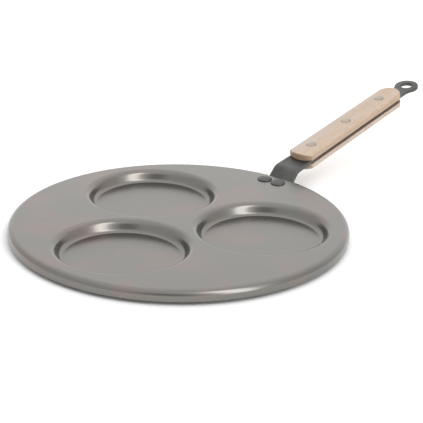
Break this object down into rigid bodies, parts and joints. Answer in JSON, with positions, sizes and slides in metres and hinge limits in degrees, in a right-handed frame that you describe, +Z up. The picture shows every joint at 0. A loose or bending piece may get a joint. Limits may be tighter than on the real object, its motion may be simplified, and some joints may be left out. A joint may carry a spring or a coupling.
{
  "type": "pancake pan",
  "caption": "Round pressed-steel pancake pan with dished wells, a turned-down rim and a long riveted strap handle with wooden scales and a hanging eye.",
  "frame": {"origin": "under the middle of the pan's box, on the plane that the wells stand on", "axes": "+X from the plate towards the hanging eye, +Z up out of the wells"},
  "size_m": [0.4702, 0.27, 0.0517],
  "materials": {
    "plate_steel": "bare carbon steel, satin, lightly mottled",
    "strap_steel": "dark satin steel",
    "beech": "pale beech, sanded and waxed",
    "plate_rivet_steel": "dark satin steel",
    "scale_rivet_steel": "bright satin steel"
  },
  "bodies": {
    "root": {"pan_plate": "plate_steel", "handle_strap": "strap_steel", "upper_scale": "beech", "lower_scale": "beech", "plate_rivet_left": "plate_rivet_steel", "plate_rivet_right": "plate_rivet_steel", "scale_rivet_pin_1": "scale_rivet_steel", "scale_rivet_pin_2": "scale_rivet_steel", "scale_rivet_pin_3": "scale_rivet_steel", "scale_rivet_tube_1": "scale_rivet_steel", "scale_rivet_tube_2": "scale_rivet_steel", "scale_rivet_tube_3": "scale_rivet_steel"}
  },
  "joints": []
}
